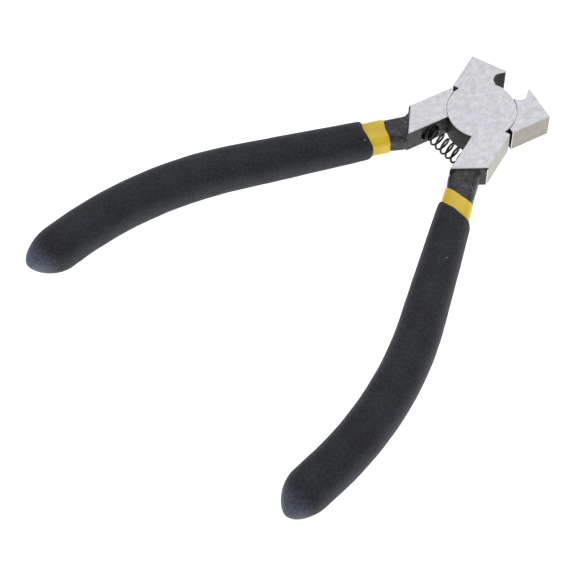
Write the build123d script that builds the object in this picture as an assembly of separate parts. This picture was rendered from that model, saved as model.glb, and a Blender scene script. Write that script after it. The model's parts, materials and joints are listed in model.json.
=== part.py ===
# Small end-cutting nippers with a round lap joint, a return spring and double-dipped grips.
# Frame: the pivot axis is Z, +Y points from the pivot to the jaws, and Z = 0 is the lower head face.
# Both levers are the same forging, the lower one turned half a turn about the long axis; its hand
# finishing differs a little, so that its inner wall sits further out and its shoulder keeps a flare.
# Every outline is drawn for the upper lever with the jaws shut, then opened by half of rest_opening.
from math import asin, cos, hypot, pi, radians, sin, tan
import os

from build123d import *

# Head and jaws
head_thickness = 6.5
disc_radius = 7.9
jaw_reach = 4.76
jaw_overhang = 1.0
tip_gap = 0.06
tip_land = 0.5
relief_radius = 1.76
relief_set_back = 2.84
relief_throat = 0.7

# Stop: past its rest opening, each jaw's rear edge meets the other lever's shank shoulder
stop_travel = 4.0
stop_clearance = 0.04
shoulder_offset = 0.1

# Shank, from the stop shoulder back to the slanted rear edge
shank_overhang = 0.75
shank_inner = 1.3
lower_wall_setback = 0.6
shank_behind_pocket = 4.1
shank_slant = 4.4
neck_step = 0.45
edge_break = 0.12

# Neck and tang, on a line that runs straight, bows once and runs straight to the end.
# The bulge's stations are shares of the way from the shank's inner end to the inner coat.
neck_width = 6.4
neck_corner = 1.8
neck_inset = 1.58
neck_root = 0.1
neck_bulge = 0.42
bulge_stations = (0, 0.2, 0.45, 1)
bulge_shares = (0.8, 1, 0.7, 0)
lower_shoulder_flare = 1.3
flare_length = 2.7
flare_corner = 0.5
splay_angle = 13.45
splay_length = 42.7
bow_radius = 86.8
tail_angle = 15.0
overall_length = 120.25

# Dipped grips: a thin inner coat over the tang, and a thick outer coat over that
inner_coat_behind_shank = 3.9
inner_coat_wall = 0.35
inner_coat_shows = 4.4
outer_coat_side_wall = 0.6
outer_coat_flat_wall = 1.35
grip_widening = 0.9
grip_thickening = 0.45
grip_growth_length = 50.0
grip_end_length = 8.0
grip_end_fullness = 1.72
body_sections = 10
closing_shares = (0.3, 0.5, 0.68, 0.82, 0.92, 0.985)
upper_drip = 2.5
lower_drip = 0.0
drip_skew = 0.8
inner_coat_end_cover = 5.5
tang_end_cover = 1.9

# Pivot
rivet_radius = 2.3
rivet_head_radius = 3.5
rivet_head_height = 1.2
running_clearance = 0.03
lap_clearance = 0.04
recess_clearance = 0.1

# Return spring and the blind pockets that hold its ends
rest_opening = 32.6
spring_wire = 0.5
spring_outer_radius = 1.95
spring_pitch = 1.64
spring_end_clearance = 0.05
pocket_clearance = 0.35
pocket_land = 1.9
pocket_depth = 2.0

# What follows from those sizes
half_opening = rest_opening / 2
mid_plane = head_thickness / 2
front_length = disc_radius + jaw_reach
jaw_half_width = disc_radius + jaw_overhang
shank_outer = disc_radius + shank_overhang
stop_half_opening = radians(rest_opening + stop_travel) / 2
stop_depth = (jaw_half_width + shank_outer) * tan(stop_half_opening) + stop_clearance
jaw_rear = (stop_depth - shoulder_offset) / 2
shoulder_rear = (stop_depth + shoulder_offset) / 2
pocket_radius = spring_outer_radius + pocket_clearance
pocket_behind_pivot = disc_radius + pocket_land + pocket_radius
shank_inner_length = pocket_behind_pivot + pocket_radius + shank_behind_pocket
shank_outer_length = shank_inner_length - shank_slant
neck_thickness = head_thickness - 2 * neck_step
handle_start_y = shank_outer_length - neck_root
handle_start_x = shank_outer - neck_inset - neck_width / 2
inner_coat_start = shank_inner_length + inner_coat_behind_shank
outer_coat_start = inner_coat_start + inner_coat_shows
inner_coat_half_width = neck_width / 2 + inner_coat_wall
inner_coat_half_height = neck_thickness / 2 + inner_coat_wall
bow_length = bow_radius * radians(splay_angle + tail_angle)
handle_end_y = overall_length - front_length
oversize = 4 * head_thickness


def slab(face, low, high):
    """A plan outline made solid between two heights."""
    return extrude(Pos(0, 0, low) * face, high - low)


# ---- lever ----
def jaw_outline():
    """Jaw in plan, with a flat land at its cutting edge and the round relief behind it."""
    relief_y = front_length - relief_set_back
    land_y = front_length - tip_land
    lean = asin(relief_radius / (land_y - relief_y))
    touch = (-relief_radius * cos(lean), relief_y + relief_radius * sin(lean))
    block = make_face(Polyline(
        (-tip_gap / 2, front_length),
        (-jaw_half_width, front_length),
        (-jaw_half_width, jaw_rear),
        (-tip_gap / 2, jaw_rear),
        close=True))
    wedge = make_face(Polyline(
        (-tip_gap / 2, land_y), touch, (0, relief_y), (0, land_y), close=True))
    throat = make_face(Polyline(
        (0, relief_y),
        (-relief_throat, relief_y),
        (-relief_throat, jaw_rear),
        (0, jaw_rear),
        close=True))
    return block - Pos(0, relief_y) * Circle(relief_radius) - wedge - throat


def shank_solid(inner_wall):
    """Full-thickness shank, with its slanted rear edges chamfered down to the neck."""
    outline = make_face(Polyline(
        (inner_wall, -shoulder_rear),
        (shank_outer, -shoulder_rear),
        (shank_outer, -shank_outer_length),
        (inner_wall, -shank_inner_length),
        close=True))
    solid = slab(outline, 0, head_thickness)
    rear_x = (shank_outer + shank_inner) / 2
    rear_y = -(shank_outer_length + shank_inner_length) / 2
    rear_edges = [
        edge for edge in solid.edges()
        if hypot(edge.center().X - rear_x, edge.center().Y - rear_y) < neck_corner
        and abs(edge.tangent_at(0.5).Z) < 0.5]
    return chamfer(rear_edges, neck_step)


def handle_path(distance):
    """Point and heading on the handle's centre line, at a distance along it from its start."""
    splay, tail = radians(splay_angle), radians(tail_angle)
    start = Vector(handle_start_x, -handle_start_y, mid_plane)
    bow_start = start + Vector(sin(splay), -cos(splay)) * splay_length
    centre = bow_start - Vector(cos(splay), sin(splay)) * bow_radius
    if distance <= splay_length:
        return start + Vector(sin(splay), -cos(splay)) * distance, splay
    if distance <= splay_length + bow_length:
        heading = splay - (distance - splay_length) / bow_radius
        return centre + Vector(cos(heading), sin(heading)) * bow_radius, heading
    bow_end = centre + Vector(cos(tail), -sin(tail)) * bow_radius
    past_bow = distance - splay_length - bow_length
    return bow_end - Vector(sin(tail), cos(tail)) * past_bow, -tail


def handle_length():
    """Length of the centre line from its start to the end of the grip."""
    bow_end, heading = handle_path(splay_length + bow_length)
    return splay_length + bow_length + (handle_end_y + bow_end.Y) / cos(heading)


def handle_sweep(half_width, half_height, corner, end_at):
    """A rounded bar of constant section along the centre line."""
    start, bow_start, bow_middle, bow_end, end = (
        handle_path(at)[0] for at in
        (0, splay_length, splay_length + bow_length / 2, splay_length + bow_length, end_at))
    path = Line(start, bow_start) + ThreePointArc(bow_start, bow_middle, bow_end) + Line(bow_end, end)
    section = handle_plane(0) * RectangleRounded(2 * half_width, 2 * half_height, corner)
    return sweep(section, path)


def handle_plane(distance):
    """Plane across the handle, X along the handle's width and Y up."""
    point, heading = handle_path(distance)
    return Plane(point, x_dir=(-cos(heading), -sin(heading), 0), z_dir=(sin(heading), -cos(heading), 0))


def behind(solid, start_y):
    """What is left of a handle solid behind a dip line."""
    length = overall_length * 2
    keep = Pos(0, -start_y - length / 2, mid_plane) * Box(length, length, oversize)
    return solid & keep


def tang():
    """Neck and tang as one plain bar."""
    return handle_sweep(neck_width / 2, neck_thickness / 2, neck_corner, tang_length)


def neck_section(distance, inward, outward, corner=neck_corner):
    """Rounded section of the neck, wider than the plain bar on its inner or outer side."""
    centre = Pos((inward - outward) / 2, 0)
    width = neck_width + inward + outward
    return handle_plane(distance) * centre * RectangleRounded(width, neck_thickness, corner)


def neck_forging(inner_wall, flare):
    """What the forging adds to the bar beside the shank: a bulge inside, and a flare outside."""
    splay = radians(splay_angle)
    inner_side = handle_start_y + neck_width / 2 * sin(splay)
    coat_at = (inner_coat_start - inner_side) / cos(splay)
    beside_wall = (shank_inner_length - inner_side) / cos(splay)
    sections = [neck_section(0, 0, 0)]
    for station, share in zip(bulge_stations, bulge_shares):
        sections.append(neck_section(
            beside_wall + (coat_at - beside_wall) * station, neck_bulge * share, 0))
    added = loft(sections, ruled=True)
    if flare:
        added += loft([neck_section(0, 0, flare, flare_corner), neck_section(flare_length, 0, 0)])
    beside = Pos(inner_wall - oversize / 2, -shank_inner_length + oversize / 2, mid_plane) * Box(
        oversize, oversize, oversize)
    return added + tang() - beside


def break_edges(body):
    """Small chamfer on the outlines of both ground faces and on the outer corners."""
    corners = [(-jaw_half_width, front_length), (-jaw_half_width, jaw_rear),
               (shank_outer, -shoulder_rear), (shank_outer, -shank_outer_length)]

    def is_outline(edge):
        height = edge.center().Z
        on_face = min(abs(height), abs(height - head_thickness)) < edge_break / 10
        return on_face and edge.bounding_box().size.Z < edge_break / 10

    def is_corner(edge):
        upright = abs(edge.tangent_at(0.5).Z) > 0.999
        at = edge.center()
        return upright and any(hypot(at.X - x, at.Y - y) < edge_break for x, y in corners)

    return chamfer([edge for edge in body.edges() if is_outline(edge) or is_corner(edge)], edge_break)


def lever(inner_wall, flare):
    """Upper lever: its disc is the top half of the lap joint."""
    lap_floor = mid_plane + lap_clearance / 2
    recess = slab(Circle(disc_radius + recess_clearance), -oversize, lap_floor)
    body = slab(jaw_outline(), 0, head_thickness) + shank_solid(inner_wall) - recess
    body = body + slab(Circle(disc_radius), lap_floor, head_thickness) + neck_forging(inner_wall, flare)
    pocket = Plane(
        (pocket_mouth[0], pocket_mouth[1], mid_plane),
        z_dir=(cos(pocket_lean), -sin(pocket_lean), 0)) * Cylinder(
            pocket_radius, 2 * pocket_depth, align=(Align.CENTER, Align.CENTER, Align.CENTER))
    return break_edges(body) - pocket


# ---- grips ----
def inner_coat_blank():
    """Outside of the inner coat, solid."""
    return handle_sweep(
        inner_coat_half_width, inner_coat_half_height,
        neck_corner + inner_coat_wall, full_length - inner_coat_end_cover)


def inner_coat():
    return behind(inner_coat_blank() - tang(), inner_coat_start)


def grip_section(distance, end_at):
    """Outer coat's oval section: it grows from the front, and closes in a rounded drip."""
    grown = (distance + handle_start_y - outer_coat_start) / grip_growth_length
    ease = sin(min(1, max(0, grown)) * pi / 2)
    half_width = inner_coat_half_width + outer_coat_side_wall + grip_widening * ease
    half_height = inner_coat_half_height + outer_coat_flat_wall + grip_thickening * ease
    into_end = max(0, 1 - (end_at - distance) / grip_end_length)
    shrink = (1 - into_end ** grip_end_fullness) ** (1 / grip_end_fullness)
    plane = handle_plane(distance)
    plane.origin -= plane.x_dir * drip_skew * into_end ** 2
    return plane * Ellipse(half_width * shrink, half_height * shrink)


def grip_blank(drip):
    """Outside of the outer coat, solid, with its own length of drip at the end."""
    end_at = full_length + drip
    begin = outer_coat_start - handle_start_y - inner_coat_half_width
    body_end = end_at - grip_end_length
    spacing = (body_end - begin) / (body_sections - 1)
    stations = [begin + spacing * step for step in range(body_sections)]
    stations += [body_end + grip_end_length * share for share in closing_shares]
    return loft([grip_section(at, end_at) for at in stations])


def outer_coat(drip):
    return behind(grip_blank(drip) - inner_coat_blank(), outer_coat_start)


# ---- pivot and spring ----
def rivet(clearance_below):
    """Shaft with a flush cone at each end; the clearance widens its lower half."""
    lower_radius = rivet_radius + clearance_below
    upper = make_face(Polyline(
        (0, mid_plane), (rivet_radius, mid_plane), (rivet_radius, head_thickness - rivet_head_height),
        (rivet_head_radius, head_thickness), (0, head_thickness), close=True))
    lower = make_face(Polyline(
        (0, mid_plane), (lower_radius, mid_plane), (lower_radius, rivet_head_height),
        (rivet_head_radius + clearance_below, 0), (0, 0), close=True))
    return revolve(Plane.XZ * upper, Axis.Z) + revolve(Plane.XZ * lower, Axis.Z)


def spring():
    """Wire wound along X between the two pocket floors."""
    wound = 2 * spring_end - spring_wire
    middle_radius = spring_outer_radius - spring_wire / 2
    coil = Helix(
        pitch=spring_pitch, height=wound, radius=middle_radius,
        center=(-wound / 2, spring_y, mid_plane), direction=(1, 0, 0))
    start = coil @ 0
    section = Plane(start, z_dir=coil % 0) * Circle(spring_wire / 2)
    return sweep(section, coil, is_frenet=True)


full_length = handle_length()
tang_length = full_length - inner_coat_end_cover - tang_end_cover

# The pockets are drilled so that they face each other halfway through the travel.
pocket_lean = radians(half_opening / 2)
pocket_mouth = (shank_inner, -pocket_behind_pivot)
pocket_floor = (pocket_mouth[0] + pocket_depth * cos(pocket_lean),
                pocket_mouth[1] - pocket_depth * sin(pocket_lean))


def opened(x, y):
    """A point of the upper lever, moved from the shut pose to the rest pose."""
    turn = radians(half_opening)
    return x * cos(turn) - y * sin(turn), x * sin(turn) + y * cos(turn)


mouth_x, mouth_y = opened(*pocket_mouth)
floor_x, floor_y = opened(*pocket_floor)
spring_y = mouth_y
spring_end = floor_x - spring_outer_radius * tan(pocket_lean) - spring_end_clearance

upper_lever = lever(shank_inner, 0)
lower_lever = lever(shank_inner + lower_wall_setback, lower_shoulder_flare)
pivot_rivet = rivet(0)
coat = inner_coat()
turned_over = Pos(0, 0, mid_plane) * Rot(0, 180, 0) * Pos(0, 0, -mid_plane)
open_upper = Rot(0, 0, half_opening)
open_lower = Rot(0, 0, -half_opening)
parts = {
    "upper_lever": open_upper * (upper_lever - pivot_rivet),
    "upper_inner_coat": open_upper * coat,
    "upper_grip": open_upper * outer_coat(upper_drip),
    "lower_lever": open_lower * (turned_over * lower_lever - rivet(running_clearance)),
    "lower_inner_coat": open_lower * turned_over * coat,
    "lower_grip": open_lower * turned_over * outer_coat(lower_drip),
    "pivot_rivet": open_upper * pivot_rivet,
    "return_spring": spring(),
}

os.makedirs("parts", exist_ok=True)
for node, shape in parts.items():
    export_step(shape, f"parts/{node}.step")
    print(node, round(shape.volume, 2), "mm3", len(shape.solids()), "solid")
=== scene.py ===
import json
from math import copysign, cos, pi, radians, sin

import bpy
from mathutils import Matrix, Vector, noise


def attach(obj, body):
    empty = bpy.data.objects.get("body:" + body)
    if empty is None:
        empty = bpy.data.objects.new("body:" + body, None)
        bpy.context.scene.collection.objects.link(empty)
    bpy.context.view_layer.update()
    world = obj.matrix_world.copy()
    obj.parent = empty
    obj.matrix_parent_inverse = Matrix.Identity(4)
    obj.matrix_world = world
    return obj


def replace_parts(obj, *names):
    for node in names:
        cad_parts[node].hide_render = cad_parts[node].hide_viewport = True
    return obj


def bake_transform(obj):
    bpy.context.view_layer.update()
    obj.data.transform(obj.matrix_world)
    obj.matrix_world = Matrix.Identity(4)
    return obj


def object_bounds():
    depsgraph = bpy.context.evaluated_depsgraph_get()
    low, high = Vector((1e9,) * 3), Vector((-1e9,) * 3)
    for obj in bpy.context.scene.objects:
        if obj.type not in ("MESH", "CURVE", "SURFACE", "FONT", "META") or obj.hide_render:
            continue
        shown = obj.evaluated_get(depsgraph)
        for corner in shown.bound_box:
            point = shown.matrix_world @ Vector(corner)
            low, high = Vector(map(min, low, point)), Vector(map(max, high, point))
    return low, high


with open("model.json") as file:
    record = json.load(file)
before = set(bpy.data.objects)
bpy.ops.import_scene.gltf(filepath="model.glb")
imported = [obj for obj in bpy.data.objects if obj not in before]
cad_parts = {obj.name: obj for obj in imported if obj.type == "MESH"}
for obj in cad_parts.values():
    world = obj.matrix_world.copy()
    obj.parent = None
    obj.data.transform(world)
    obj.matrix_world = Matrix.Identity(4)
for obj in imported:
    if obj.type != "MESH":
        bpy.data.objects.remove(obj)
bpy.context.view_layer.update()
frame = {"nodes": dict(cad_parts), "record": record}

mm = 0.001
scene = bpy.context.scene
scene.view_settings.view_transform = "Standard"


def hexToLinear(code):  # sRGB hex to the linear RGBA that the shader sockets take
    shares = [int(code[i:i + 2], 16) / 255 for i in (1, 3, 5)]
    return [c / 12.92 if c <= 0.04045 else ((c + 0.055) / 1.055) ** 2.4 for c in shares] + [1.0]


def addNode(tree, kind, inputs=None, **settings):
    made = tree.nodes.new(kind)
    for name, value in settings.items():
        setattr(made, name, value)
    for socket, value in (inputs or {}).items():
        if isinstance(value, bpy.types.NodeSocket):
            tree.links.new(value, made.inputs[socket])
        else:
            made.inputs[socket].default_value = value
    return made


def newMaterial(name):
    material = bpy.data.materials.new(name)
    material.use_nodes = True
    tree = material.node_tree
    tree.nodes.clear()
    place = addNode(tree, "ShaderNodeTexCoord").outputs["Object"]
    return material, tree, place


def finishMaterial(tree, inputs):
    shader = addNode(tree, "ShaderNodeBsdfPrincipled", inputs)
    addNode(tree, "ShaderNodeOutputMaterial", {"Surface": shader.outputs[0]})


def perMm(size):  # texture scale for a feature of that size in mm
    return 1 / (size * mm)


# How the grinding marks lie: the belt ran lengthways over the faces, and its strokes cross a little.
grinding = {
    "strokeWidth": 0.12,    # mm; real belt scratches are 0.03 mm, drawn coarse enough to show
    "strokeLength": 1.2,
    "cloudSize": 1.5,       # mm, soft patches where the belt pressed more or less
    "faceLight": "#C3C2C7",
    "faceDark": "#B0AFB4",
    # painted shade: the sides are drawn darker than the faces, and the lower lever's sides darker than the
    # upper's
    "sideLight": {"upper_lever": "#B5B3AC", "lower_lever": "#A8A49B"},
    "sideDark": {"upper_lever": "#A4A199", "lower_lever": "#959087"},
    "pitEvery": 7.0,        # mm between the odd pits that the belt missed
    "pitRadius": 0.28,
    "pit": "#77767C",
}


def groundSteel(name, light, dark, angle, roughness, upright=False):
    # Tool steel, belt ground: even pale grey, with faint strokes and cloudy patches.
    material, tree, place = newMaterial(name)
    g = grinding
    parts = []
    for turn in (angle, angle + radians(24)):
        across, along = perMm(g["strokeWidth"]), perMm(g["strokeLength"])
        rotation = (0, 0, turn)
        scale = (along, along, across) if upright else (across, along, along)
        turned = addNode(tree, "ShaderNodeMapping", {
            "Vector": place, "Rotation": rotation}).outputs[0]
        stretched = addNode(tree, "ShaderNodeMapping", {
            "Vector": turned, "Scale": scale}).outputs[0]
        parts.append(addNode(tree, "ShaderNodeTexNoise", {
            "Vector": stretched, "Scale": 1.0, "Detail": 3.0, "Roughness": 0.6}).outputs[0])
    strokes = addNode(tree, "ShaderNodeMath", {0: parts[0], 1: parts[1]}, operation="ADD").outputs[0]
    clouds = addNode(tree, "ShaderNodeTexNoise", {
        "Vector": place, "Scale": perMm(g["cloudSize"]), "Detail": 3.0, "Roughness": 0.55}).outputs[0]
    both = addNode(tree, "ShaderNodeMath", {
        0: clouds, 1: 0.7, 2: strokes}, operation="MULTIPLY_ADD").outputs[0]
    share = addNode(tree, "ShaderNodeMapRange", {
        "Value": both, "From Min": 1.08, "From Max": 1.62}).outputs[0]
    ground = addNode(tree, "ShaderNodeMix", {
        0: share, 6: hexToLinear(dark), 7: hexToLinear(light)}, data_type="RGBA").outputs[2]
    cell = addNode(tree, "ShaderNodeTexVoronoi", {
        "Vector": place, "Scale": perMm(g["pitEvery"])}).outputs["Distance"]
    pit = addNode(tree, "ShaderNodeMapRange", {
        "Value": cell, "From Min": 0.0, "From Max": g["pitRadius"] / g["pitEvery"],
        "To Min": 0.45, "To Max": 0.0}).outputs[0]
    colour = addNode(tree, "ShaderNodeMix", {
        0: pit, 6: ground, 7: hexToLinear(g["pit"])}, data_type="RGBA").outputs[2]
    rough = addNode(tree, "ShaderNodeMapRange", {
        "Value": both, "From Min": 1.0, "From Max": 1.7,
        "To Min": roughness + 0.06, "To Max": roughness - 0.06}).outputs[0]
    bump = addNode(tree, "ShaderNodeBump", {
        "Height": strokes, "Strength": 0.12, "Distance": 0.05 * mm}).outputs[0]
    finishMaterial(tree, {
        "Base Color": colour, "Metallic": 1.0, "Roughness": rough, "Normal": bump})
    return material


oxide = {
    "cloudSize": 2.2,       # mm, where the scale took the black more or less
    "gritSize": 0.5,        # mm; forging grit is nearer 0.1 mm, drawn coarse enough to show
    "scuffSize": 1.3,
    "bloom": "#3C3B31",     # old oil gives the black a faint olive bloom
    "scuff": "#77727A",     # rubbed places, where steel begins to show through
}


def blackOxideSteel(name, light, dark, roughness, forgedBump, scuffed=0.5):
    # Forged steel, black oxide over scale: nearly black, mottled and lightly scuffed, with a dull shine.
    material, tree, place = newMaterial(name)
    o = oxide
    waves = addNode(tree, "ShaderNodeTexNoise", {
        "Vector": place, "Scale": perMm(o["cloudSize"]), "Detail": 4.0, "Roughness": 0.6}).outputs[0]
    grit = addNode(tree, "ShaderNodeTexNoise", {
        "Vector": place, "Scale": perMm(o["gritSize"]), "Detail": 2.0, "Roughness": 0.6}).outputs[0]
    mixed = addNode(tree, "ShaderNodeMath", {0: waves, 1: grit}, operation="ADD").outputs[0]
    share = addNode(tree, "ShaderNodeMapRange", {
        "Value": mixed, "From Min": 0.85, "From Max": 1.2}).outputs[0]
    plain = addNode(tree, "ShaderNodeMix", {
        0: share, 6: hexToLinear(dark), 7: hexToLinear(light)}, data_type="RGBA").outputs[2]
    bloomPlace = addNode(tree, "ShaderNodeMapping", {"Vector": place, "Location": (0.02, 0.03, 0.01)})
    bloom = addNode(tree, "ShaderNodeTexNoise", {
        "Vector": bloomPlace.outputs[0], "Scale": perMm(o["cloudSize"]), "Detail": 3.0}).outputs[0]
    bloomShare = addNode(tree, "ShaderNodeMapRange", {
        "Value": bloom, "From Min": 0.45, "From Max": 0.65, "To Max": 0.6}).outputs[0]
    bloomed = addNode(tree, "ShaderNodeMix", {
        0: bloomShare, 6: plain, 7: hexToLinear(o["bloom"])}, data_type="RGBA").outputs[2]
    rubbed = addNode(tree, "ShaderNodeTexNoise", {
        "Vector": place, "Scale": perMm(o["scuffSize"]), "Detail": 5.0, "Roughness": 0.75}).outputs[0]
    scuffShare = addNode(tree, "ShaderNodeMapRange", {
        "Value": rubbed, "From Min": 0.53, "From Max": 0.68, "To Max": scuffed}).outputs[0]
    colour = addNode(tree, "ShaderNodeMix", {
        0: scuffShare, 6: bloomed, 7: hexToLinear(o["scuff"])}, data_type="RGBA").outputs[2]
    rough = addNode(tree, "ShaderNodeMapRange", {
        "Value": waves, "From Min": 0.3, "From Max": 0.7,
        "To Min": roughness - 0.08, "To Max": roughness + 0.1}).outputs[0]
    coarse = addNode(tree, "ShaderNodeBump", {
        "Height": waves, "Strength": forgedBump, "Distance": 0.25 * mm}).outputs[0]
    fine = addNode(tree, "ShaderNodeBump", {
        "Height": grit, "Strength": forgedBump * 0.6, "Distance": 0.06 * mm, "Normal": coarse}).outputs[0]
    finishMaterial(tree, {
        "Base Color": colour, "Metallic": 0.35, "Roughness": rough, "Normal": fine})
    return material


lapJoint = frame["record"]["behaviour"]["joints"][0]
halfOpening = radians(-lapJoint["range_deg"][0] / 2)  # each lever stands this far from shut
lever = {
    "headThickness": 6.5,
    "edgeBreak": 0.12,
    "jawOuter": 8.9,
    "shankOuter": 8.65,
    "front": 12.66,
    "tipLand": 0.5,
    "discRadius": 7.9,
    "shoulder": 3.0,
    "shankEnd": 18.5,
}


def asDrawn(point, isUpper):  # a point or direction of a lever, turned back to the shut upper lever
    turned = Matrix.Rotation(-halfOpening if isUpper else halfOpening, 3, "Z") @ point
    return turned if isUpper else Vector((-turned.x, turned.y, -turned.z))


# 0 ground face, 1 ground side, 2 edge drawn paler as a painted highlight, 3 oxide, 4 oxide in a hollow
# drawn darker as painted shade
def finishOf(polygon, isUpper):
    middle = Vector((0, 0, lever["headThickness"] * mm / 2))
    at = asDrawn(polygon.center - middle, isUpper) / mm
    facing = asDrawn(polygon.normal, isUpper)
    fromMiddle, edge = abs(at.z), lever["headThickness"] / 2
    broken = lever["edgeBreak"] * 1.05
    if fromMiddle > edge - 0.005 and abs(facing.z) > 0.99:
        return 0
    if fromMiddle > edge - broken and at.y > -lever["shankEnd"]:
        return 2
    jawSide = at.x < -lever["jawOuter"] + 0.01 and facing.x < -0.99
    shankSide = at.x > lever["shankOuter"] - 0.01 and facing.x > 0.99
    front = at.y > lever["front"] - 0.01 and facing.y > 0.99
    if jawSide or shankSide or front:
        return 1
    corner = min(abs(at.x + lever["jawOuter"]), abs(at.x - lever["shankOuter"])) < broken
    if corner and max(abs(facing.x), abs(facing.y)) < 0.95 and abs(facing.z) < 0.1:
        return 2
    if at.y > lever["front"] - lever["tipLand"] and facing.x > 0.99:
        return 2
    inHollow = at.xy.length < lever["discRadius"] + 0.2 or at.y > -lever["shoulder"]
    return 4 if inHollow else 3


def finishLevers():
    g = grinding
    forged = blackOxideSteel("forgedBlackOxideSteel", "#45434A", "#151418", 0.46, 1.0)
    # The oxide in the hollows (disc wall, crotch, relief, recess) is drawn darker than on the neck:
    # painted shade.
    hollowShaded = blackOxideSteel("hollowShadedBlackOxideSteel", "#2A292D", "#121114", 0.6, 0.9, 0.2)
    # The chamfered edges and the jaw tip land are drawn paler than the faces, a painted highlight; their
    # lower roughness is the edges' own.
    edges = groundSteel("paintedHighlightSteelEdge", "#EDEDF0", "#D9D9DD", 0, 0.3)
    for name, angle, isUpper in (("upper_lever", halfOpening, True), ("lower_lever", -halfOpening, False)):
        face = groundSteel(name + "GroundFace", g["faceLight"], g["faceDark"], -angle, 0.42)
        side = groundSteel(
            name + "GroundSide", g["sideLight"][name], g["sideDark"][name], -angle, 0.45, True)
        data = frame["nodes"][name].data
        data.materials.clear()
        for material in (face, side, edges, forged, hollowShaded):
            data.materials.append(material)
        for polygon in data.polygons:
            polygon.material_index = finishOf(polygon, isUpper)
    rivet = frame["nodes"]["pivot_rivet"]
    rivet.data.materials.clear()
    rivet.data.materials.append(frame["nodes"]["upper_lever"].data.materials[0])
    print("levers and rivet: ground faces, edges with painted highlights, black oxide hollows")


finishLevers()


def addMesh(name, points, faces, material, shares=(), shareName=""):
    data = bpy.data.meshes.new(name)
    data.from_pydata(points, [], faces)
    if shares:
        data.attributes.new(shareName, "FLOAT", "POINT").data.foreach_set("value", shares)
    data.materials.append(material)
    data.polygons.foreach_set("use_smooth", [True] * len(data.polygons))
    obj = bpy.data.objects.new(name, data)
    scene.collection.objects.link(obj)
    return obj


def skin(rings, flip=False):  # a closed tube through rings of points, with a point at each end
    count = len(rings[0])
    points = [p for ring in rings for p in ring]
    faces = []
    for r in range(len(rings) - 1):
        for i in range(count):
            j = (i + 1) % count
            faces.append((r * count + i, r * count + j, (r + 1) * count + j, (r + 1) * count + i))
    for ring, base, turn in ((rings[0], 0, True), (rings[-1], len(points) - count, False)):
        centre = sum((Vector(p) for p in ring), Vector()) / count
        points.append(centre)
        for i in range(count):
            j = (i + 1) % count
            first, second = (j, i) if turn else (i, j)
            faces.append((base + first, base + second, len(points) - 1))
    return points, [tuple(reversed(f)) for f in faces] if flip else faces


# Both handles follow one line: straight and splayed, one bow, and straight again.
handle = {
    "startX": 3.87,
    "startY": 14.0,
    "midPlane": lever["headThickness"] / 2,
    "splay": radians(13.45),
    "splayLength": 42.7,
    "bowRadius": 86.8,
    "tail": radians(15.0),
    "endY": 107.59,
}


def handleAt(distance):  # point on the line, and its heading, in mm with the jaws shut
    h = handle
    start = Vector((h["startX"], -h["startY"], 0))
    bowStart = start + Vector((sin(h["splay"]), -cos(h["splay"]), 0)) * h["splayLength"]
    centre = bowStart - Vector((cos(h["splay"]), sin(h["splay"]), 0)) * h["bowRadius"]
    bowLength = h["bowRadius"] * (h["splay"] + h["tail"])
    if distance <= h["splayLength"]:
        return start + Vector((sin(h["splay"]), -cos(h["splay"]), 0)) * distance, h["splay"]
    if distance <= h["splayLength"] + bowLength:
        heading = h["splay"] - (distance - h["splayLength"]) / h["bowRadius"]
        return centre + Vector((cos(heading), sin(heading), 0)) * h["bowRadius"], heading
    bowEnd = centre + Vector((cos(h["tail"]), -sin(h["tail"]), 0)) * h["bowRadius"]
    past = distance - h["splayLength"] - bowLength
    return bowEnd - Vector((sin(h["tail"]), cos(h["tail"]), 0)) * past, -h["tail"]


def handleLength():
    straightAfter = handle["splayLength"] + handle["bowRadius"] * (handle["splay"] + handle["tail"])
    bowEnd = handleAt(straightAfter)[0]
    return straightAfter + (handle["endY"] + bowEnd.y) / cos(handle["tail"])


fullLength = handleLength()


def superRound(angle, power):  # a rounded-square curve: power 2 is an ellipse, more is squarer
    c, s = cos(angle), sin(angle)
    return copysign(abs(c) ** (2 / power), c), copysign(abs(s) ** (2 / power), s)


def barPoint(angle, halfWidth, halfHeight, corner):  # where a ray at this angle leaves a rounded bar
    dx, dz = abs(halfWidth * cos(angle)), abs(halfHeight * sin(angle))
    cx, cz = halfWidth - corner, halfHeight - corner
    if dz * halfWidth <= cz * dx:
        x, z = halfWidth, halfWidth * dz / dx
    elif dx * halfHeight <= cx * dz:
        x, z = halfHeight * dx / dz, halfHeight
    else:
        size = (dx * dx + dz * dz) ** 0.5
        along = (cx * dx + cz * dz) / size
        reach = along + (along ** 2 - cx ** 2 - cz ** 2 + corner ** 2) ** 0.5
        x, z = reach * dx / size, reach * dz / size
    return copysign(x, cos(angle)), copysign(z, sin(angle))


def opened(across, distance, up, isUpper):  # a point beside the handle's line, in the open tool, in metres
    point, heading = handleAt(distance)
    x, y = point.x + cos(heading) * across, point.y + sin(heading) * across
    z = up
    if not isUpper:
        x, z = -x, -up
    turn = halfOpening if isUpper else -halfOpening
    place = (x * cos(turn) - y * sin(turn), x * sin(turn) + y * cos(turn), z + handle["midPlane"])
    return Vector(place) * mm


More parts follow.
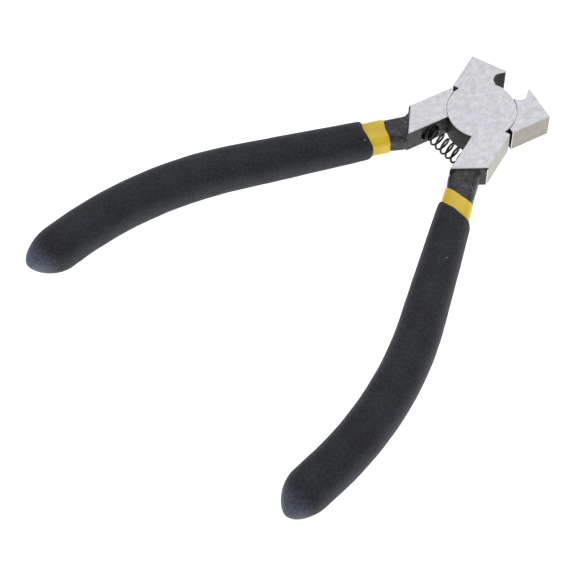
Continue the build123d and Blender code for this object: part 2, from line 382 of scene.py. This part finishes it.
segments = 72
innerRings = 32   # enough for the hidden inner walls to follow the bow and stay inside the coats
yellowRings, blackRings, tipRings = 60, 100, 26
dip = {
    "yellow": {
        "frontAtSides": 21.8,     # mm behind the pivot
        "frontAtTop": {"upper": 23.0, "lower": 21.8},
        "outerDelay": {"upper": 1.5, "lower": -1.15},   # each was dipped a little askew
        "innerDelay": {"upper": 0.0, "lower": 0.45},
        "halfWidth": 3.55,
        "halfHeight": 3.15,
        "corner": 2.15,
        "wall": 0.35,
        "lip": 0.45,              # rounding of the rim
        "shadeBand": 0.32,            # how far the near-black band of painted shade reaches ahead of the rim
        "shadeBandThickness": 0.04,
        "endsBefore": 5.5,        # mm short of the handle's end, hidden in the grip
        "innerEnd": 0.97,         # how far along the inner wall goes
        "innerSetBack": 0.12,
        "waviness": 0.12,         # mm, how far the rim wanders
    },
    "black": {
        "frontAtSides": 26.1,
        "frontAtTop": {"upper": 27.3, "lower": 26.5},
        "outerDelay": {"upper": 1.7, "lower": -0.8},
        "innerDelay": {"upper": 0.0, "lower": 0.3},
        "halfWidth": 4.15,
        "halfHeight": 4.5,
        "widening": 0.91,
        "thickening": 0.42,
        "growth": 50.0,
        "power": 2.3,
        "lip": 1.1,
        "endLength": 8.0,
        "fullness": 1.72,
        "lumps": 0.05,            # mm, the foam's soft unevenness
        "lumpSize": 3.5,
        "growthStart": 12.4,      # mm along the handle
        "bodyStart": 13,
        "innerEnd": 0.93,
        "innerSetBack": 0.2,
        "waviness": 0.16,
        "drip": {"upper": 2.5, "lower": 0},         # mm past the handle's end
        "tipSkew": {"upper": 0.85, "lower": 0.95},  # mm, the tips set a little to one side
        "tipLift": {"upper": 0.27, "lower": -0.2},
    },
}


def rimDistance(angle, across, d, side):  # where along the handle a dip line crosses at this angle
    level = d["frontAtSides"] + (d["frontAtTop"][side] - d["frontAtSides"]) * sin(angle) ** 2
    level += max(0, cos(angle)) * d["outerDelay"][side] + max(0, -cos(angle)) * d["innerDelay"][side]
    return (level - handle["startY"] + across * sin(handle["splay"])) / cos(handle["splay"])


def lipSteps(lip):
    return [lip * k for k in (0, 0.02, 0.07, 0.16, 0.3, 0.48, 0.72, 1.0)]


def coatRings(isUpper):  # the yellow coat, from its inner end round the rim to its outer end
    d = dip["yellow"]
    side = "upper" if isUpper else "lower"
    endAt = fullLength - d["endsBefore"]
    rings = []

    def ring(offset, shrink, share):
        made = []
        for i in range(segments):
            angle = 2 * pi * i / segments
            width, height, corner = (d[k] - shrink for k in ("halfWidth", "halfHeight", "corner"))
            across, up = barPoint(angle, width, height, corner)
            start = rimDistance(angle, across, d, side)
            wander = Vector((2.2 * cos(angle), 2.2 * sin(angle), 7.0 if isUpper else 3.0))
            wave = d["waviness"] * noise.noise(wander)
            distance = start + wave + offset + (endAt - start - offset) * share
            made.append(opened(across, distance, up, isUpper))
        return made

    for k in range(innerRings, 0, -1):
        rings.append(ring(d["innerSetBack"], d["wall"], d["innerEnd"] * k / innerRings))
    # a thin near-black sheet ahead of the rim: painted shade where the rim shadows the neck
    rings.append(ring(-d["shadeBand"], d["wall"], 0))
    shadeBandRings = len(rings)
    for share in (0.9, 0.02):
        rings.append(ring(-d["shadeBand"] * share, d["wall"] - d["shadeBandThickness"], 0))
    shares = [0.0] * (shadeBandRings * segments) + [1.0] * ((len(rings) - shadeBandRings) * segments)
    for step in lipSteps(d["lip"]):
        rise = (1 - (1 - step / d["lip"]) ** 2) ** 0.5
        rings.append(ring(step, (d["wall"] - d["shadeBandThickness"]) * (1 - rise), 0))
    for k in range(1, yellowRings + 1):
        rings.append(ring(d["lip"], 0, (k / yellowRings) ** 1.5))
    shares += [0.0] * (len(rings) * segments - len(shares) + 2)
    return rings, shares


def gripRings(isUpper):  # the black coat, from its inner end round the rim to the drip at its tip
    d, under = dip["black"], dip["yellow"]
    side = "upper" if isUpper else "lower"
    endAt = fullLength + d["drip"][side]
    skew, lift = d["tipSkew"][side], d["tipLift"][side]
    seed = Vector((0, 0, 40.0 if isUpper else 90.0))
    rings = []

    def size(distance):
        grown = min(1, max(0, (distance - d["growthStart"]) / d["growth"]))
        ease = sin(grown * pi / 2)
        into = min(1, max(0, 1 - (endAt - distance) / d["endLength"]))
        shrink = (1 - into ** d["fullness"]) ** (1 / d["fullness"])
        return (d["halfWidth"] + d["widening"] * ease) * shrink, (
            d["halfHeight"] + d["thickening"] * ease) * shrink, into

    def ring(offset, wallShare, share):
        made = []
        for i in range(segments):
            angle = 2 * pi * i / segments
            cx, cz = superRound(angle, d["power"])
            start = rimDistance(angle, cx * d["halfWidth"], d, side)
            wave = d["waviness"] * noise.noise(Vector((1.8 * cos(angle), 1.8 * sin(angle), 5.0)) + seed)
            distance = start + wave + offset + (endAt - start - offset) * share
            width, height, into = size(distance)
            lump = d["lumps"] * noise.noise(
                Vector((cos(angle) * 4, sin(angle) * 4, distance)) / d["lumpSize"] + seed)
            innerX, innerZ = barPoint(angle, under["halfWidth"], under["halfHeight"], under["corner"])
            across = innerX + (cx * (width + lump) - innerX) * wallShare + skew * into ** 2
            up = innerZ + (cz * (height + lump) - innerZ) * wallShare + lift * into ** 2
            made.append(opened(across, distance, up, isUpper))
        return made

    for k in range(innerRings, -1, -1):
        rings.append(ring(d["innerSetBack"], 0, d["innerEnd"] * k / innerRings))
    for step in lipSteps(d["lip"]):
        rings.append(ring(step, (1 - (1 - step / d["lip"]) ** 2) ** 0.5, 0))
    body = 1 - d["endLength"] / (endAt - d["bodyStart"])
    for k in range(1, blackRings):
        rings.append(ring(d["lip"], 1, body * k / blackRings))
    shares = [0.0] * (len(rings) * segments)
    for k in range(tipRings + 1):
        closing = min(0.9999, sin(k / tipRings * pi / 2))
        rings.append(ring(d["lip"], 1, body + (1 - body) * closing))
        shares += [closing] * segments
    return rings, shares + [0.0, 1.0]


vinyl = {
    "patch": 5.0,             # mm, where the dip lies thicker or thinner
    "ripple": 0.6,
    "thick": "#DAB50E",
    "thin": "#F0D02E",
    # painted shade: the near-black band ahead of the rim, where the rim shadows the neck
    "shadeBand": "#121215",
}


def dippedVinyl(name):
    # Plastisol PVC, first dip: smooth warm yellow, softly glossy, with paler and deeper patches, and a
    # near-black band ahead of the rim as painted shade.
    material, tree, place = newMaterial(name)
    v = vinyl
    waves = addNode(tree, "ShaderNodeTexNoise", {
        "Vector": place, "Scale": perMm(v["patch"]), "Detail": 2.0}).outputs[0]
    fine = addNode(tree, "ShaderNodeTexNoise", {
        "Vector": place, "Scale": perMm(v["ripple"]), "Detail": 2.0}).outputs[0]
    share = addNode(tree, "ShaderNodeMapRange", {
        "Value": waves, "From Min": 0.3, "From Max": 0.7}).outputs[0]
    plain = addNode(tree, "ShaderNodeMix", {
        0: share, 6: hexToLinear(v["thick"]), 7: hexToLinear(v["thin"])}, data_type="RGBA").outputs[2]
    shadeBand = addNode(tree, "ShaderNodeAttribute", attribute_name="shadeBandShare").outputs["Fac"]
    colour = addNode(tree, "ShaderNodeMix", {
        0: shadeBand, 6: plain, 7: hexToLinear(v["shadeBand"])}, data_type="RGBA").outputs[2]
    bump = addNode(tree, "ShaderNodeBump", {
        "Height": fine, "Strength": 0.15, "Distance": 0.05 * mm}).outputs[0]
    finishMaterial(tree, {
        "Base Color": colour, "Roughness": 0.3, "IOR": 1.5, "Normal": bump})
    return material


foam = {
    "grain": 0.55,            # mm, pebbles of the foamed skin
    "pore": 0.5,
    "patch": 7.0,
    "speckEvery": 6.0,        # mm between the odd pale specks
    "speckRadius": 0.26,
    "dark": "#06070B",
    "pale": "#252934",
    "drip": "#656D85",        # painted sheen: the end of each tip is drawn paler and bluer, a painted highlight on the last drip
    "speck": "#B4B9C6",
    "sheen": "#AEB6CC",
}


def foamedVinyl(name):
    # Plastisol PVC foamed on the second dip: charcoal, matte, with a fine pebbled grain, and a painted
    # sheen on the tips.
    material, tree, place = newMaterial(name)
    f = foam
    grain = addNode(tree, "ShaderNodeTexNoise", {
        "Vector": place, "Scale": perMm(f["grain"]), "Detail": 3.0, "Roughness": 0.7}).outputs[0]
    pores = addNode(tree, "ShaderNodeTexVoronoi", {
        "Vector": place, "Scale": perMm(f["pore"])}).outputs["Distance"]
    patches = addNode(tree, "ShaderNodeTexNoise", {
        "Vector": place, "Scale": perMm(f["patch"]), "Detail": 2.0}).outputs[0]
    mixed = addNode(tree, "ShaderNodeMath", {
        0: patches, 1: 0.35, 2: grain}, operation="MULTIPLY_ADD").outputs[0]
    share = addNode(tree, "ShaderNodeMapRange", {
        "Value": mixed, "From Min": 0.54, "From Max": 0.82}).outputs[0]
    skinColour = addNode(tree, "ShaderNodeMix", {
        0: share, 6: hexToLinear(f["dark"]), 7: hexToLinear(f["pale"])}, data_type="RGBA").outputs[2]
    # painted sheen: towards the end of the tip the colour turns paler and bluer, a painted highlight; the
    # lower roughness there is the smooth drip's own
    drip = addNode(tree, "ShaderNodeAttribute", attribute_name="tipSheenShare").outputs["Fac"]
    near = addNode(tree, "ShaderNodeMapRange", {
        "Value": drip, "From Min": 0.3, "From Max": 1.0, "To Max": 0.85}, interpolation_type="SMOOTHSTEP")
    mottled = addNode(tree, "ShaderNodeMath", {
        0: near.outputs[0], 1: addNode(tree, "ShaderNodeMapRange", {
            "Value": mixed, "From Min": 0.5, "From Max": 0.85, "To Min": 0.4}).outputs[0]},
        operation="MULTIPLY").outputs[0]
    paintedTipSheen = addNode(tree, "ShaderNodeMix", {
        0: mottled, 6: skinColour, 7: hexToLinear(f["drip"])}, data_type="RGBA").outputs[2]
    cell = addNode(tree, "ShaderNodeTexVoronoi", {
        "Vector": place, "Scale": perMm(f["speckEvery"])}).outputs["Distance"]
    speck = addNode(tree, "ShaderNodeMapRange", {
        "Value": cell, "From Min": 0.0, "From Max": f["speckRadius"] / f["speckEvery"],
        "To Min": 0.8, "To Max": 0.0}).outputs[0]
    colour = addNode(tree, "ShaderNodeMix", {
        0: speck, 6: paintedTipSheen, 7: hexToLinear(f["speck"])}, data_type="RGBA").outputs[2]
    height = addNode(tree, "ShaderNodeMath", {0: grain, 1: pores}, operation="ADD").outputs[0]
    bump = addNode(tree, "ShaderNodeBump", {
        "Height": height, "Strength": 0.8, "Distance": 0.1 * mm}).outputs[0]
    rough = addNode(tree, "ShaderNodeMapRange", {
        "Value": near.outputs[0], "To Min": 0.66, "To Max": 0.45}).outputs[0]
    finishMaterial(tree, {
        "Base Color": colour, "Roughness": rough, "IOR": 1.45, "Normal": bump,
        "Sheen Weight": 0.05, "Sheen Roughness": 0.5, "Sheen Tint": hexToLinear(f["sheen"])})
    return material


def makeDips():
    yellow, black = dippedVinyl("dippedYellowVinyl"), foamedVinyl("foamedBlackVinyl")
    for side in ("upper", "lower"):
        isUpper = side == "upper"
        rings, shares = coatRings(isUpper)
        points, faces = skin(rings, flip=not isUpper)
        coat = addMesh(side + "YellowCoat", points, faces, yellow, shares, "shadeBandShare")
        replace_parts(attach(coat, side + "_half"), side + "_inner_coat")
        rings, shares = gripRings(isUpper)
        points, faces = skin(rings, flip=not isUpper)
        grip = addMesh(side + "BlackGrip", points, faces, black, shares, "tipSheenShare")
        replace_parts(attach(grip, side + "_half"), side + "_grip")
    print("dips: yellow coats and black grips")


makeDips()

spring = {
    "behind": 11.36,          # mm behind the pivot
    "outerRadius": 1.97,
    "wire": 0.52,
    "pitch": 1.64,
    "halfLength": 6.1,
    "bow": 0.25,              # how far its middle bows back
    "slant": 0.06,            # how much further back its right-hand end sits, as a share of its length
    "phase": -0.24,           # turns
    "blendReach": 7.3,        # a little past its ends
}


def makeSpring():
    s = spring
    steps, around = 36, 12
    turns = 2 * s["halfLength"] / s["pitch"]
    radius, rings = s["outerRadius"] - s["wire"] / 2, []
    line = []

    def axisAt(x):
        bow = s["bow"] * (1 - (x / s["halfLength"]) ** 2)
        return Vector((x, -s["behind"] - bow - s["slant"] * x, handle["midPlane"]))

    for k in range(int(turns * steps) + 1):
        turn = k / steps
        x = -s["halfLength"] + turn * s["pitch"]
        angle = 2 * pi * (turn + s["phase"])
        line.append(axisAt(x) + Vector((0, radius * cos(angle), radius * sin(angle))))
    for k, at in enumerate(line):
        ahead = (line[min(k + 1, len(line) - 1)] - line[max(k - 1, 0)]).normalized()
        out = (at - axisAt(at.x)).normalized()
        out = (out - ahead * out.dot(ahead)).normalized()
        beside = ahead.cross(out)
        rings.append([(at + (out * cos(2 * pi * i / around) + beside * sin(2 * pi * i / around))
                       * (s["wire"] / 2)) * mm for i in range(around)])
    points, faces = skin(rings)
    wire = blackOxideSteel("blackedSpringWire", "#303034", "#1C1C1F", 0.34, 0.1, 0.0)
    coil = addMesh("returnSpring", points, faces, wire)
    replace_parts(coil, "return_spring")
    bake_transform(coil)
    print("spring: wound coil between the two pockets")


makeSpring()

studio = {
    "skyStrength": 0.62,
    "keySize": 0.5,           # metres
    "keyPower": 0.9,
    "keyPlace": (-0.15, 0.25, 0.55),
    "floorGlow": 1.0,        # how far the floor burns out to plain white
    "floorColour": "#B4B4B4",
}


def makeStudio():
    st = studio
    world = bpy.data.worlds.new("studio")
    scene.world = world
    world.use_nodes = True
    background = world.node_tree.nodes["Background"]
    background.inputs["Color"].default_value = (1, 1, 1, 1)
    background.inputs["Strength"].default_value = st["skyStrength"]
    data = bpy.data.lights.new("softbox", "AREA")
    data.shape, data.size, data.energy = "SQUARE", st["keySize"], st["keyPower"]
    key = bpy.data.objects.new("softbox", data)
    scene.collection.objects.link(key)
    key.location = st["keyPlace"]
    key.rotation_euler = (Vector((0, -0.03, 0)) - key.location).to_track_quat("-Z", "Y").to_euler()
    material, tree, _ = newMaterial("whiteSweep")  # painted studio sweep: even matte white
    finishMaterial(tree, {
        "Base Color": hexToLinear(st["floorColour"]), "Roughness": 0.9,
        "Emission Color": (1, 1, 1, 1), "Emission Strength": st["floorGlow"]})
    reach = 3.0
    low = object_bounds()[0].z - 0.05 * mm
    corners = [(-reach, -reach, low), (reach, -reach, low), (reach, reach, low), (-reach, reach, low)]
    floor = addMesh("floor", corners, [(0, 1, 2, 3)], material)
    print("studio: sweep, sky and softbox")


makeStudio()

camera = {
    "azimuth": 44.86,       # degrees, turned from looking along +Y
    "elevation": 57.29,     # degrees above the plane of the tool
    "roll": 0.80,
    "distance": 558.6,      # mm from the pivot
    "sensor": 36,           # mm
    "focal": 4.2708,        # focal length as a share of the picture's width
    "pivotRight": 0.3349,   # how far right of the middle the pivot stands, as a share of the width
    "pivotUp": 0.2951,
}


def makeCamera(c):
    azimuth, elevation, roll = (radians(c[k]) for k in ("azimuth", "elevation", "roll"))
    look = Vector((-sin(azimuth) * cos(elevation), cos(azimuth) * cos(elevation), -sin(elevation)))
    right = Vector((cos(azimuth), sin(azimuth), 0))
    up = right.cross(look)
    turnedRight = right * cos(roll) + up * sin(roll)
    turnedUp = up * cos(roll) - right * sin(roll)
    distance = c["distance"] * mm
    aside = turnedRight * (c["pivotRight"] / c["focal"]) + turnedUp * (c["pivotUp"] / c["focal"])
    place = Vector((0, 0, handle["midPlane"] * mm)) - (look + aside) * distance
    data = bpy.data.cameras.new("camera")
    data.sensor_width = c["sensor"]
    data.lens = c["sensor"] * c["focal"]
    data.clip_start = 0.01
    obj = bpy.data.objects.new("camera", data)
    scene.collection.objects.link(obj)
    axes = Matrix((turnedRight, turnedUp, -look)).transposed()
    obj.matrix_world = Matrix.Translation(place) @ axes.to_4x4()
    scene.camera = obj
    print("camera: in front of the right-hand side, looking down")


makeCamera(camera)
